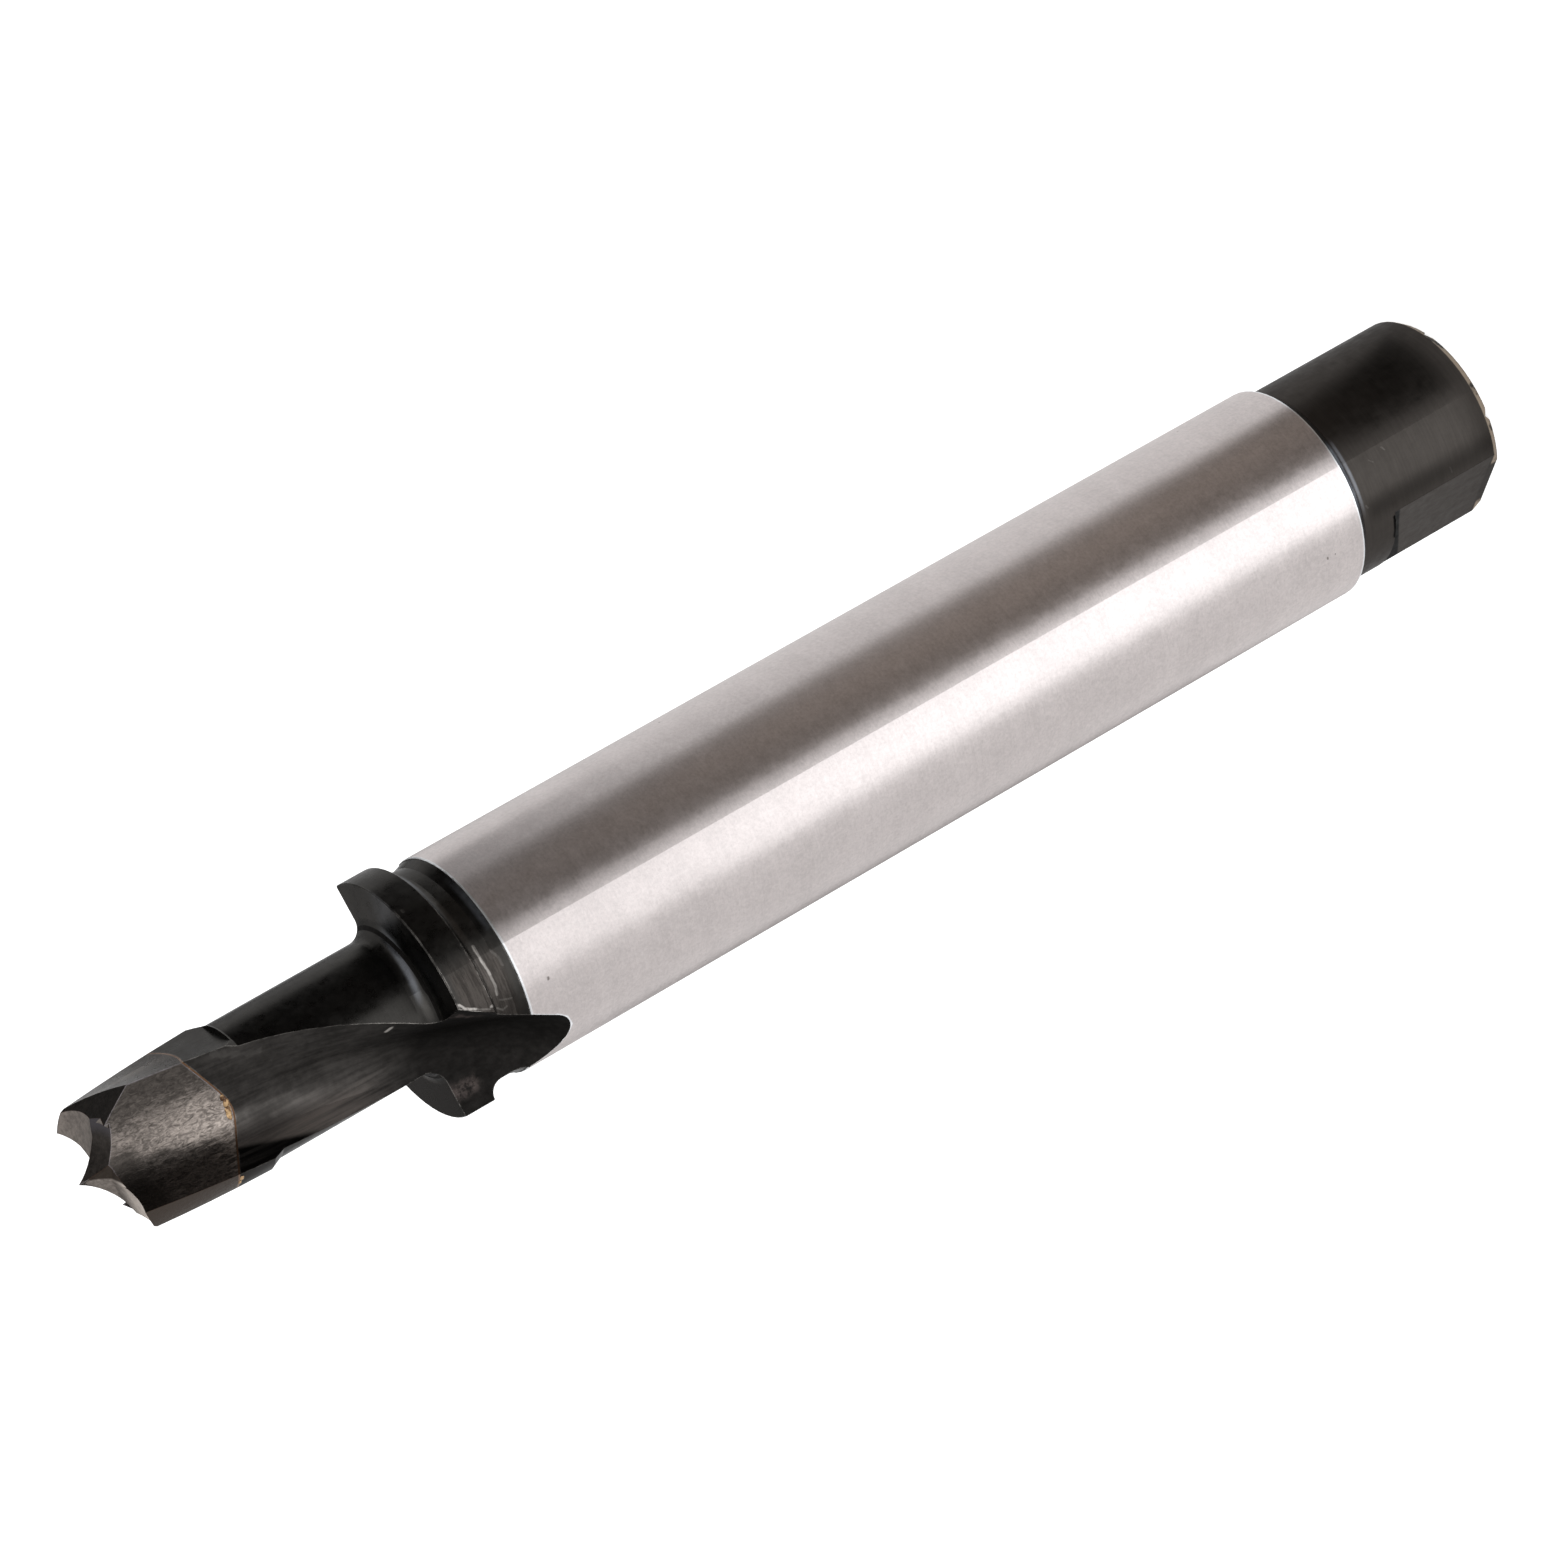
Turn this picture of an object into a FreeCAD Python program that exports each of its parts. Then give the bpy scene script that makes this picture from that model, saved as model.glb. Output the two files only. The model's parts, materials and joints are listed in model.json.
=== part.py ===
import FreeCAD, Part
import math
import os

# Carbide tipped dowel bit, standing on its tail. All sizes in millimetres.
# The axis is Z, the origin is the centre of the tail's end face and the
# centre point of the cutting head is at the top.

# Tail and shank
tail_d = 11.2
tail_length = 9.4
tail_end_chamfer_r = 0.28
tail_end_chamfer_h = 0.4
shank_d = 12.0
shank_chamfer_h = 0.45
shank_edge_round = 0.08

# Flat ground on the tail, and the two nicks in its end rim
flat_depth = 0.65
flat_length = 7.35
flat_angle = -67.0
nick_angles = (43.0, -16.0)
nick_depth = 0.3
nick_width = 0.7
nick_reach = 0.55

# Groove and collar in front of the shank
groove_d = 11.46
groove_floor = 0.68
groove_corner = 0.6
collar_d = 13.0
collar_length = 1.7
collar_root_r = 0.73
collar_rear_break = 0.05
collar_front_break = 0.06

# Neck, and the head that is wider than the neck
neck_d = 7.4
neck_root_r = 0.9
neck_length = 9.55
head_d = 8.0
head_length = 9.4
head_rear_chamfer = 0.7
overall_length = 86.2

# Flutes: pitch of the screw, corner radius and the web left between them
flute_lead = 127.06
flute_corner_r = 1.98
lip_angle = -42.4
flute_back_angle = 25.0
flute_corner_out = 2.4
flute_back_angle_collar = 5.3
flute_corner_out_collar = 3.87
flute_opening_power = 1.6
flute_runout_start = 1.73
flute_runout_curve = 0.0717
flute_runout_spread = 0.2
flute_behind_collar = 6.8

# Back of each land behind its guiding margin
margin_land_angle = 50.0
land_relief = 0.57
land_relief_setback = 0.1

# Carbide head: seat cone, braze film, centre point, lips and clearances
seat_point_angle = 118.0
seat_behind_point = 8.97
braze_film = 0.1
lip_relief_angle = 13.0
point_height = 1.24
point_root_r = 0.9
point_side_hollow = 0.1
lip_hollow_r = 4.6
lip_hollow_at = 2.35
lip_hollow_depth = 1.57
thinning_reach = 2.55
thinning_depth = 2.25
thinning_hollow = 0.42
thinning_lean = 7.0
heel_gash_angle = 50.0
heel_gash_tilt = 17.5
heel_gash_above_point = 1.05

# Values that follow from the sizes above
shank_r = shank_d / 2
tail_r = tail_d / 2
groove_r = groove_d / 2
collar_r = collar_d / 2
neck_r = neck_d / 2
head_r = head_d / 2
head_rear_z = overall_length - head_length
head_front_z = head_rear_z + head_rear_chamfer
collar_front_z = head_rear_z - neck_length
collar_rear_z = collar_front_z - collar_length - collar_rear_break
groove_z = collar_rear_z - collar_root_r
shank_front_z = groove_z - groove_floor - groove_corner
lip_z = overall_length - point_height
seat_z = overall_length - seat_behind_point
spare = 2.0

up = FreeCAD.Vector(0, 0, 1)
origin = FreeCAD.Vector(0, 0, 0)


def at(r, z):
    return FreeCAD.Vector(r, 0, z)


def line(a, b):
    return Part.LineSegment(a, b).toShape()


def arc(a, middle, b):
    return Part.Arc(a, middle, b).toShape()


# Arc from a to b that dips by a depth, square to the direction across
def dished(a, b, depth, across):
    inward = (b - a).cross(across).normalize() * depth
    return arc(a, (a + b) * 0.5 + inward, b)


def prism(points, path):
    ring = Part.makePolygon(list(points) + [points[0]])
    return Part.Face(ring).extrude(path)


def turned(shape, degrees):
    copy = shape.copy()
    copy.rotate(origin, up, degrees)
    return copy


# Turned outline from the tail's end face to the front of the head
def turned_body():
    half = math.sqrt(0.5)
    groove_in = at(groove_r, shank_front_z + groove_corner)
    groove_out = at(groove_r, groove_z)
    edge_drop = shank_edge_round * (1 - half)
    shank_edge = at(shank_r - edge_drop, shank_front_z - edge_drop)
    root_x = groove_r + collar_root_r
    root_mid = at(root_x - collar_root_r * half, groove_z + collar_root_r * half)
    neck_x = neck_r + neck_root_r
    neck_z = collar_front_z + neck_root_r
    neck_mid = at(neck_x - neck_root_r * half, neck_z - neck_root_r * half)
    front_z = overall_length + spare
    stops = [
        at(0, 0),
        at(tail_r - tail_end_chamfer_r, 0),
        at(tail_r, tail_end_chamfer_h),
        at(tail_r, tail_length),
        at(shank_r, tail_length + shank_chamfer_h),
        at(shank_r, shank_front_z - shank_edge_round),
        shank_edge,
        at(shank_r - shank_edge_round, shank_front_z),
        groove_in,
        groove_out,
        root_mid,
        at(root_x, collar_rear_z),
        at(collar_r, collar_rear_z + collar_rear_break),
        at(collar_r, collar_front_z - collar_front_break),
        at(collar_r - collar_front_break, collar_front_z),
        at(neck_x, collar_front_z),
        neck_mid,
        at(neck_r, neck_z),
        at(neck_r, head_rear_z),
        at(head_r, head_front_z),
        at(head_r, front_z),
        at(0, front_z),
    ]
    rounded = (shank_edge, root_mid, neck_mid)
    edges = []
    for k, stop in enumerate(stops):
        following = stops[(k + 1) % len(stops)]
        if following in rounded:
            edges.append(arc(stop, following, stops[k + 2]))
        elif stop not in rounded:
            edges.append(line(stop, following))
    return Part.Face(Part.Wire(edges)).revolve(origin, up, 360)


# Angle of the cutting face round the axis at a height
def lip_turn(z):
    return lip_angle + 360.0 / flute_lead * (z - lip_z)


# One cross-section of a flute: cutting face, corner round, back wall.
# p runs outward along the cutting face and q across the open flute.
def flute_section(z):
    opening = (head_rear_z - z) / (head_rear_z - collar_front_z)
    share = min(max(opening, 0.0), 1.0) ** flute_opening_power
    past_collar = max(collar_front_z - z, 0.0)
    out = flute_corner_out + (flute_corner_out_collar - flute_corner_out) * share
    out = out + flute_runout_spread * past_collar
    back_turn = flute_back_angle_collar - flute_back_angle
    back = math.radians(flute_back_angle + back_turn * share)
    runout = max(collar_front_z + flute_runout_start - z, 0.0)
    wall = flute_runout_curve * runout ** 2
    centre_q = wall + flute_corner_r
    reach = 2.0 * collar_r

    def spot(q, p):
        turn = math.radians(lip_turn(z))
        x = p * math.cos(turn) - q * math.sin(turn)
        y = p * math.sin(turn) + q * math.cos(turn)
        return FreeCAD.Vector(x, y, z)

    def round_spot(angle):
        q = centre_q - flute_corner_r * math.cos(angle)
        p = out - flute_corner_r * math.sin(angle)
        return spot(q, p)

    last = math.pi / 2 - back
    foot_q = centre_q - flute_corner_r * math.cos(last)
    foot_p = out - flute_corner_r * math.sin(last)
    run = reach - foot_q
    far = spot(reach, foot_p - run * math.tan(back))
    near = spot(wall, reach)
    edges = [
        line(near, round_spot(0.0)),
        arc(round_spot(0.0), round_spot(last / 2), round_spot(last)),
        line(round_spot(last), far),
        line(far, spot(reach, reach)),
        line(spot(reach, reach), near),
    ]
    return Part.Wire(edges)


def flute():
    top = overall_length + 2 * spare
    low = collar_front_z - flute_behind_collar
    count = 24
    rings = [flute_section(low + (top - low) * k / count) for k in range(count + 1)]
    return Part.makeLoft(rings, True, False)


# Back of a land, ground flat and following the screw of the flute
def land_back():
    distance = head_r - land_relief
    rings = []
    start = head_rear_z + land_relief_setback
    top = overall_length + 2 * spare
    count = 8
    for k in range(count + 1):
        z = start + (top - start) * k / count
        turn = math.radians(lip_turn(z) - margin_land_angle)
        out = FreeCAD.Vector(math.cos(turn), math.sin(turn), 0)
        side = FreeCAD.Vector(-math.sin(turn), math.cos(turn), 0)
        foot = out * distance + up * z
        far = foot + out * head_r
        corners = [foot - side * head_r, foot + side * head_r, far + side * head_r, far - side * head_r]
        rings.append(Part.makePolygon(corners + [corners[0]]))
    return Part.makeLoft(rings, True, False)


# Everything ground away in front of one wing of the head. Across the wing
# is X, behind its lip is -Y.
def wing_front():
    top = overall_length + 2 * spare
    wide = 2 * head_r
    bottom_z = overall_length - lip_hollow_depth

    def hollow(p):
        rise = lip_hollow_r - math.sqrt(lip_hollow_r ** 2 - (p - lip_hollow_at) ** 2)
        return bottom_z + rise

    def wing(side):
        p_end = 1.1 * head_r
        return [
            FreeCAD.Vector(side * point_root_r, 0, hollow(point_root_r)),
            FreeCAD.Vector(side * lip_hollow_at, 0, bottom_z),
            FreeCAD.Vector(side * p_end, 0, hollow(p_end)),
        ]

    apex = at(0, overall_length)
    across = FreeCAD.Vector(0, -1, 0)
    left = wing(-1)
    right = wing(1)
    left_top = FreeCAD.Vector(left[2].x, 0, top)
    right_top = FreeCAD.Vector(right[2].x, 0, top)
    edges = [
        dished(apex, right[0], point_side_hollow, across),
        arc(right[0], right[1], right[2]),
        line(right[2], right_top),
        line(right_top, left_top),
        line(left_top, left[2]),
        arc(left[2], left[1], left[0]),
        dished(left[0], apex, point_side_hollow, across),
    ]
    fall = math.tan(math.radians(lip_relief_angle))
    lip_grind = Part.Face(Part.Wire(edges)).extrude(FreeCAD.Vector(0, -wide, -fall * wide))

    lean = math.tan(math.radians(thinning_lean))
    start = FreeCAD.Vector(-wide, 0, overall_length - lean * wide)
    foot = start + FreeCAD.Vector(0, -thinning_reach, -thinning_depth)
    foot_top = FreeCAD.Vector(-wide, -thinning_reach, top)
    start_top = FreeCAD.Vector(-wide, 0, top)
    edges = [
        dished(start, foot, thinning_hollow, FreeCAD.Vector(-1, 0, 0)),
        line(foot, foot_top),
        line(foot_top, start_top),
        line(start_top, start),
    ]
    thinning = Part.Face(Part.Wire(edges)).extrude(FreeCAD.Vector(2 * wide, 0, 2 * lean * wide))

    steep = math.tan(math.radians(heel_gash_angle))
    tilt = math.tan(math.radians(heel_gash_tilt))
    start_z = overall_length + heel_gash_above_point + tilt * wide
    gash = prism([
        FreeCAD.Vector(-wide, 0, start_z),
        FreeCAD.Vector(-wide, -wide, start_z - steep * wide),
        FreeCAD.Vector(-wide, -wide, top + wide),
        FreeCAD.Vector(-wide, 0, top + wide),
    ], FreeCAD.Vector(2 * wide, 0, -2 * tilt * wide))
    return [turned(piece, lip_angle) for piece in (lip_grind, thinning, gash)]


# Flat on the tail, and a nick in the rim of its end face
def tail_flat():
    distance = tail_r - flat_depth
    block = Part.makeBox(spare, tail_d, flat_length + spare, FreeCAD.Vector(distance, -tail_r, -spare))
    return turned(block, flat_angle)


def rim_nick(angle):
    x = tail_r - nick_reach
    wedge = prism([
        FreeCAD.Vector(x, -nick_width / 2, -0.01),
        FreeCAD.Vector(x, nick_width / 2, -0.01),
        FreeCAD.Vector(x, 0, nick_depth),
    ], FreeCAD.Vector(spare, 0, 0))
    return turned(wedge, angle)


# Solid above the conical seat, raised by a height
def above_seat(raise_by):
    slope = 1 / math.tan(math.radians(seat_point_angle / 2))
    wide = 1.5 * head_r
    low = seat_z + raise_by
    top = overall_length + spare
    ring = Part.makePolygon([at(0, low), at(wide, low + slope * wide), at(wide, top), at(0, top), at(0, low)])
    return Part.Face(ring).revolve(origin, up, 360)


body = turned_body()
one_flute = flute()
one_back = land_back()
cutters = [one_flute, one_back] + wing_front()
for cutter in cutters:
    body = body.cut(cutter)
    body = body.cut(turned(cutter, 180))
body = body.cut(tail_flat())
for angle in nick_angles:
    body = body.cut(rim_nick(angle))

tip_space = above_seat(braze_film / 2)
film_space = above_seat(-braze_film / 2)
carbide_tip = body.common(tip_space)
braze = body.common(film_space).cut(tip_space)
steel_body = body.cut(film_space)

os.makedirs("parts", exist_ok=True)
for name, shape in (("steel_body", steel_body), ("carbide_tip", carbide_tip), ("braze", braze)):
    solid = shape.removeSplitter()
    if len(solid.Solids) == 1:
        solid = solid.Solids[0]
    print(name, solid.ShapeType, len(solid.Solids), solid.isValid(), round(solid.Volume, 3), solid.BoundBox)
    solid.exportStep("parts/" + name + ".step")
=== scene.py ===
import json
import math

import bmesh
import bpy
from mathutils import Matrix, Vector, noise

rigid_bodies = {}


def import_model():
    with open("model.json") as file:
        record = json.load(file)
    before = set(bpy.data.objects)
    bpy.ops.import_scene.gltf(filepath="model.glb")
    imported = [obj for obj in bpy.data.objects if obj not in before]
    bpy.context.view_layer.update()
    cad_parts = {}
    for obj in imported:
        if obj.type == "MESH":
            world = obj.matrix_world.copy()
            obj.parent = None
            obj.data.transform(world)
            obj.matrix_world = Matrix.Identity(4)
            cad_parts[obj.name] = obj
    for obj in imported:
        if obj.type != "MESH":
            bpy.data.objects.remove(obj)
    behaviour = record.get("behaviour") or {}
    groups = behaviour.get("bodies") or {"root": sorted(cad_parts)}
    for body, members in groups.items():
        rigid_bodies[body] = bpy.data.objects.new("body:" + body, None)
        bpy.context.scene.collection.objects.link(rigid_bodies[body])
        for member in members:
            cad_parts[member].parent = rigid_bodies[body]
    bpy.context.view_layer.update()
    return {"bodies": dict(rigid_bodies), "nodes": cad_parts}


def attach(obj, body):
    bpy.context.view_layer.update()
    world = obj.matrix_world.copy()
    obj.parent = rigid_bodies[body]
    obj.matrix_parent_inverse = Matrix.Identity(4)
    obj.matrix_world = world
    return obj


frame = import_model()

bl_info = {
    "name": "Dowel Bit",
    "version": (1, 0, 0),
    "blender": (4, 5, 0),
    "location": "3D View > Sidebar > Dowel Bit",
    "description": "Finishes, lights and camera for a carbide tipped dowel bit",
    "category": "Object",
}

# Metres in a millimetre, and millimetres in a metre
MILLIMETRE = 0.001
METRE = 1000.0
# Stations along the axis, in millimetres from the tail's end, with the joint where it crosses the flutes
FLAT_FRONT = 7.35
TAIL_FRONT = 9.4
SHANK_REAR = 9.85
SHANK_FRONT = 63.49
COLLAR_FRONT = 67.25
FLUTE_JOINT = 78.5
LIP = 84.96
# Radii in millimetres
TAIL_RADIUS = 5.6
SHANK_RADIUS = 6.0
COLLAR_RADIUS = 6.5
NECK_RADIUS = 3.7
HEAD_RADIUS = 4.0
# Height and radius along the outline of the turned body
OUTLINE = (
    (0.0, 5.32), (0.4, 5.6), (9.4, 5.6), (9.85, 6.0), (63.41, 6.0), (63.49, 5.92),
    (64.09, 5.73), (64.77, 5.73), (65.29, 5.95), (65.5, 6.46), (65.55, 6.5), (67.25, 6.5),
    (67.26, 4.6), (67.51, 3.96), (68.15, 3.7), (76.8, 3.7), (77.5, 4.0), (90.0, 4.0),
)
# Angle of the lip round the axis and turn of the flutes in each millimetre, in degrees
LIP_ANGLE = -42.4
FLUTE_TURN = 2.833
HALF_TURN = 180.0
# The count of degrees round a flute starts over this far behind its lip
BEHIND_LIP = 40.0

# The camera: where it stands in metres, its axes, and its lens in pixels of the photograph
EYE = Vector((0.30734820, 0.00056534, 0.18329169))
RIGHT = Vector((0.35929, -0.495076, -0.791081))
ABOVE = Vector((0.204726, 0.86885, -0.450764))
BACK = Vector((0.910493, 0.0, 0.413524))
FOCAL_PIXELS = 6683.06
PHOTO_CENTRE = 775.0

# Drops of solder on the joint line: pixel of the photograph, then length and width in millimetres
BRAZE_SPOTS = (
    (222, 1098, 0.19, 0.10), (226.5, 1104, 0.30, 0.17), (228, 1110, 0.27, 0.17),
    (229.5, 1116, 0.20, 0.13), (242, 1178, 0.15, 0.11), (240, 1182, 0.12, 0.08),
)
BRAZE_SPOT_HEIGHT = 0.05
# How much a drop swells and shrinks, how closely, and the step of the noise from drop to drop
SPOT_SWELL = 0.35
SPOT_WAVES = 1.6
SPOT_STEP = 3.1
# Where on the mottle the flux ends and the clean solder starts
FILM_CLEAN = 0.62
DROPS_CLEAN = 0.42
# Strokes: strength and width, then the height and angle of each place that the line passes
# Worn bare lines, and painted highlight lines along the groove's fillet
WORN_AND_LIT_LINES = (
    (0.42, 0.11, (64.78, 6.0), (64.76, -2.8), (64.70, -10.2)),
    (0.26, 0.10, (64.70, -10.2), (64.69, -15.8), (64.79, -20.7)),
    (0.30, 0.08, (65.30, 3.4), (65.22, -2.3), (65.27, -11.1), (65.21, -20.0)),
    (0.08, 0.09, (64.10, 0.3), (63.93, -4.5), (63.89, -9.0)),
    (0.70, 0.09, (67.13, -13.6), (66.93, -16.4), (66.4, -19.0)),
    (0.18, 0.07, (66.4, -19.0), (65.73, -22.1)),
    (0.55, 0.10, (65.64, -21.3), (65.45, -21.3)),
    (0.16, 0.08, (65.06, -26.4), (64.76, -29.4), (64.50, -28.6)),
    (0.09, 0.08, (64.74, -23.8), (64.11, -26.1)),
    (0.16, 0.12, (66.85, 36.0), (66.87, 35.0)),
    (0.05, 0.07, (6.90, -2.2), (6.75, -4.5)),
    (0.04, 0.06, (7.90, -5.0), (7.70, -7.0)),
    (0.06, 0.08, (9.05, -26.4), (8.98, -28.0)),
    (0.04, 0.07, (3.40, -31.5), (3.30, -35.0)),
)
SHANK_NICKS = (
    (1.0, 0.10, (62.07, -25.1), (62.07, -25.6)),
    (1.0, 0.09, (12.33, -39.9), (12.33, -40.4)),
)
# Painted highlight: the white line round the flute's end on the shank
FLUTE_END_HIGHLIGHT_LINE = (
    0.8, 0.13, (62.10, -46.4), (61.55, -51.3), (61.29, -58.2), (61.44, -62.6), (62.01, -68.7), (62.5, -74.4),
)
# Painted shadow: the black line at the step in front of the tail's flat
FLAT_STEP_SHADOW_LINE = (0.97, 0.16, (7.38, -42.0), (7.38, -56.0))
FLUTE_CHIP = (0.8, 0.16, (69.56, -16.3), (69.7, -18.0))
FLUTE_SCRAPE = (0.035, 0.1, (78.2, 37.7), (75.8, 25.6))
# Painted highlights, pale bands on fillets, chamfers and edges: strength, half width, height, its rise per
# degree, and angles of start, full, end, fade
HIGHLIGHT_BANDS = (
    (0.75, 0.28, 63.62, 0.0, 48.0, 30.0, 6.0, 20.0),
    (0.40, 0.26, 67.76, -0.0085, 62.0, 34.0, -14.0, 10.0),
    (0.30, 0.22, 65.45, -0.0066, 78.0, 66.0, 30.0, 60.0),
    (0.15, 0.16, 65.45, -0.0066, 60.0, 50.0, 10.0, 30.0),
    (0.9, 0.32, 9.66, 0.0, 16.0, 8.0, -34.0, -14.0),
    (0.10, 0.26, 9.66, 0.0, -10.0, -25.0, -70.0, -50.0),
    (0.34, 0.15, 9.27, 0.0, 18.0, 8.0, -34.0, -16.0),
)

# Tones of edges, marks and stains, and of painted highlights, shade and shadow, that the settings leave
# alone
# Painted highlights: white of the shank's rims and edges, and of the line round the flutes' ends
RIM_HIGHLIGHT_WHITE = (0.93, 0.97, 1.0)
FLUTE_END_HIGHLIGHT_WHITE = (0.95, 0.97, 1.0)
NICK_BROWN = (0.13, 0.11, 0.10)
# Painted highlight: pale bluish tone of the highlight bands
HIGHLIGHT_BLUE = (0.31, 0.33, 0.37)
TAIL_RIM_BROWN = (0.40, 0.33, 0.26)
# Painted shade: black of the front's underside
PAINTED_UNDERSIDE_SHADE = (0.009, 0.008, 0.0075)
# Painted shadow: black at the step in front of the tail's flat
STEP_SHADOW_BLACK = (0.0005, 0.0005, 0.0005)
# Painted light: brown of the flute's wall under the cutting edge
LIT_WALL_BROWN = (0.21, 0.183, 0.167)
LOBE_BROWN = (0.095, 0.077, 0.072)
CARBIDE_EDGE_BROWN = (0.075, 0.04, 0.026)
CARBIDE_EDGE_GREY = (0.30, 0.28, 0.30)
LAND_BROWN = (0.045, 0.031, 0.023)
# Painted highlight: cream of the lip relief's outer part
LIP_HIGHLIGHT_CREAM = (0.92, 0.83, 0.75)
LIP_BROWN = (0.02, 0.014, 0.01)
THINNING_GREY = (0.095, 0.088, 0.1)
FLUX_BROWN = (0.13, 0.075, 0.045)
# Dulled reflection at a flat angle
STEEL_TINT = (0.6, 0.6, 0.6, 1.0)
CARBIDE_TINT = (0.7, 0.7, 0.7, 1.0)

# Ground faces of the tip: material, brightness, roughness, and how far the marks run with the flute; the
# brightness partly paints the light and shade each face shows
CUTTING_FACE = "carbide cutting face"
LAND = "carbide land"
LIP_RELIEF = "carbide lip relief"
THINNING = "carbide thinning"
TIP_FACES = (
    (CUTTING_FACE, 0.85, 0.42, 0.4),
    (LAND, 0.72, 0.3, 0.1),
    (LIP_RELIEF, 1.15, 0.36, 0.2),
    (THINNING, 0.28, 0.45, 0.2),
    ("carbide heel gash", 0.16, 0.5, 0.1),
)

# Studio cards: radii and heights of their edges in metres, steps round the axis, and tones
CARD_FOOT = 0.0002
CARD_INNER = 0.0075
CARD_MIDDLE = 0.02
CARD_WALL = 0.035
CARD_FAR = 0.06
CARD_TOP = 0.0506
WHITE_CARD_TOP = 0.051
CARD_STEPS = 18
CARD_WHITE = (1.0, 1.015, 1.025)
CARD_BROWN = (0.255, 0.223, 0.198)
CARD_BLACK = (0.05, 0.047, 0.046)
PALE_STREAK = 1.45
# Name, first and last angle, radius and height along the profile, tone
CARDS = (
    ("brown card", 10.0, 74.0,
     ((CARD_MIDDLE, CARD_FOOT), (CARD_WALL, CARD_FOOT), (CARD_WALL, CARD_TOP)), CARD_BROWN),
    ("pale streak card", 36.0, 60.0,
     ((CARD_MIDDLE, 2 * CARD_FOOT), (CARD_WALL - CARD_FOOT, 2 * CARD_FOOT),
      (CARD_WALL - CARD_FOOT, CARD_TOP)),
     tuple(PALE_STREAK * c for c in CARD_BROWN)),
    ("foot card", 8.0, 76.0, ((CARD_INNER, CARD_FOOT), (CARD_MIDDLE, CARD_FOOT)), (0.065, 0.062, 0.06)),
    ("black card", 8.0, 102.0, ((CARD_WALL, CARD_TOP), (CARD_WALL, 0.085)), CARD_BLACK),
    ("edge card", -178.0, -136.0, ((CARD_WALL, CARD_FOOT), (CARD_WALL, CARD_TOP)), (0.4, 0.39, 0.385)),
    ("tip card", 76.0, 135.0, ((CARD_WALL, 0.092), (CARD_WALL, 0.13)), CARD_BLACK),
    ("rear card", 150.0, 210.0, ((CARD_FAR, 0.088), (CARD_FAR, 0.0965)), CARD_BLACK),
    ("low rear card", 182.0, 215.0, ((CARD_FAR, 0.0965), (CARD_FAR, 0.104)), CARD_BLACK),
    ("lip card", 170.0, 190.0, ((CARD_FAR, 0.068), (CARD_FAR, 0.084)), (1.3, 1.24, 1.2)),
    ("land card", 143.0, 153.0, ((CARD_FAR, 0.046), (CARD_FAR, 0.066)), CARD_BLACK),
)
# Glow of the floor for the camera, and in the gloss
FLOOR_GLOW = 0.8
FLOOR_IN_GLOSS = 0.5


def colour(name, description, value):
    return bpy.props.FloatVectorProperty(
        name=name, description=description, subtype="COLOR", size=3, min=0.0, max=1.0, default=value)


class DowelBitFinish(bpy.types.PropertyGroup):
    """Colours and surface of the steel body, the carbide tip and the braze"""

    ground_steel: colour("Ground steel", "Colour of the ground shank", (0.60, 0.553, 0.545))
    black_oxide: colour("Black oxide", "Colour of the blackened steel", (0.044, 0.042, 0.0395))
    # Also the tone of painted highlight lines and edges
    bare_and_lit_edge: colour("Bare edge", "Colour of steel where the black is worn off", (0.55, 0.52, 0.49))
    flute: colour("Flute", "Colour of the ground flutes", (0.055, 0.051, 0.048))
    carbide: colour("Carbide", "Colour of the ground carbide tip", (0.20, 0.175, 0.158))
    braze: colour("Braze", "Colour of the brazing film", (0.52, 0.35, 0.19))
    shank_roughness: bpy.props.FloatProperty(
        name="Shank roughness", description="Roughness of the ground shank",
        subtype="FACTOR", min=0.0, max=1.0, default=0.46)
    oxide_roughness: bpy.props.FloatProperty(
        name="Oxide roughness", description="Roughness of the blackened steel",
        subtype="FACTOR", min=0.0, max=1.0, default=0.3)
    # Also the width of painted highlight lines on edges
    edge_wear_and_highlight: bpy.props.FloatProperty(
        name="Edge wear", description="Width of the bare line on worn edges",
        subtype="DISTANCE", unit="LENGTH", min=0.0, max=0.001, default=0.00009)


class DowelBitStage(bpy.types.PropertyGroup):
    """Floor, lamps and camera"""

    floor: colour("Floor", "Colour of the floor", (0.86, 0.86, 0.86))
    floor_width: bpy.props.FloatProperty(
        name="Floor width", description="Side of the square floor",
        subtype="DISTANCE", unit="LENGTH", min=0.5, max=20.0, default=6.0)
    surround: bpy.props.FloatProperty(
        name="Surround", description="Brightness of the white surround", min=0.0, max=4.0, default=0.72)
    window_power: bpy.props.FloatProperty(
        name="Window power", description="Power of the tall lamp beside the camera",
        subtype="POWER", unit="POWER", min=0.0, max=50.0, default=0.3)
    card_strength: bpy.props.FloatProperty(
        name="Card strength", description="Brightness of the white card that the gloss shows",
        min=0.0, max=10.0, default=2.2)
    focal_length: bpy.props.FloatProperty(
        name="Focal length", description="Lens of the camera",
        subtype="DISTANCE_CAMERA", min=20.0, max=400.0, default=155.218)


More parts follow.
